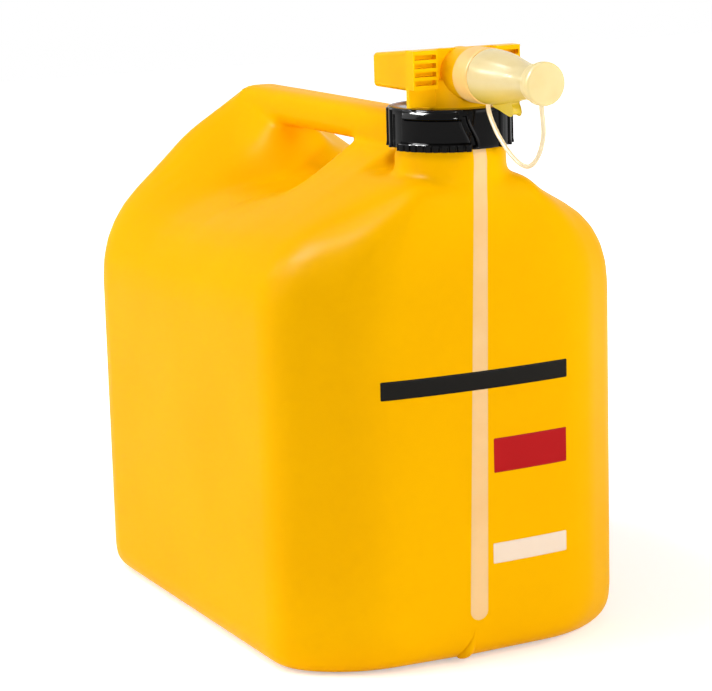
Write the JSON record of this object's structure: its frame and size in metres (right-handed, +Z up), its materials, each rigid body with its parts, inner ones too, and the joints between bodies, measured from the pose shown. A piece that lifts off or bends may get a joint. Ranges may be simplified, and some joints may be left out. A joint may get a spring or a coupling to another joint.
{
  "type": "safety fuel can",
  "caption": "Blow-moulded fuel can with a tunnel handle, clear level stripe, screw collar with lock tab, and a push-button valve spout with a tethered cap.",
  "frame": {"origin": "centre of the base, on the floor", "axes": "+Z up; the spout and the clear stripe face -Y; the handle runs along Y"},
  "size_m": [0.25, 0.4334, 0.3937],
  "materials": {
    "tank_plastic": "satin moulded polyethylene",
    "clear_plastic": "translucent natural polyethylene",
    "dark_plastic": "matte",
    "black_plastic": "glossy moulded",
    "spout_plastic": "satin moulded",
    "white_plastic": "satin moulded",
    "seal_rubber": "matte",
    "steel": "plain",
    "nozzle_plastic": "translucent natural polyethylene",
    "cream_plastic": "satin flexible polyethylene"
  },
  "bodies": {
    "can": {"tank_body": "tank_plastic", "view_stripe": "clear_plastic", "flame_arrestor": "dark_plastic"},
    "gasket": {"neck_gasket": "seal_rubber"},
    "collar": {"collar": "black_plastic"},
    "lock_tab": {"lock_tab": "black_plastic"},
    "spout": {"spout_body": "spout_plastic", "stem_guide": "white_plastic", "stem_seal": "seal_rubber", "spring_seat": "steel", "return_spring": "steel", "valve_seat": "white_plastic", "vent_tube": "white_plastic", "nozzle": "nozzle_plastic", "nozzle_seal": "seal_rubber", "tether_ring": "cream_plastic", "tether_strap": "cream_plastic"},
    "button": {"push_button": "spout_plastic", "valve_stem": "steel", "valve_head": "white_plastic", "valve_seal": "seal_rubber"},
    "cap": {"nozzle_cap": "cream_plastic"}
  },
  "joints": [
    {"name": "collar_lift", "type": "slide", "parent": "can", "child": "gasket", "axis": [0, 0, 1], "range_m": [0, 0.01]},
    {"name": "collar_turn", "type": "hinge", "parent": "gasket", "child": "collar", "pos_m": [0, -0.14, 0.344], "axis": [0, 0, 1], "range_deg": [0, 720]},
    {"name": "tab_press", "type": "hinge", "parent": "collar", "child": "lock_tab", "pos_m": [-0.0263, -0.1663, 0.3514], "axis": [0.7071, -0.7071, 0], "range_deg": [0, 3], "stiffness_Nm_per_rad": 2, "springref_deg": -2.86},
    {"name": "spout_swivel", "type": "hinge", "parent": "gasket", "child": "spout", "pos_m": [0, -0.14, 0.352], "axis": [0, 0, 1], "range_deg": [-150, 150]},
    {"name": "button_press", "type": "slide", "parent": "spout", "child": "button", "axis": [0, -1, 0], "range_m": [0, 0.008], "stiffness_N_per_m": 600, "springref_m": -0.004, "deforming": ["return_spring"]},
    {"name": "cap_pull", "type": "slide", "parent": "spout", "child": "cap", "axis": [0, -1, 0], "range_m": [0, 0.03], "deforming": ["tether_strap"]}
  ],
  "couplings": [
    {"joint": "collar_lift", "follows": "collar_turn", "m_per_rad": 0.00079577}
  ]
}
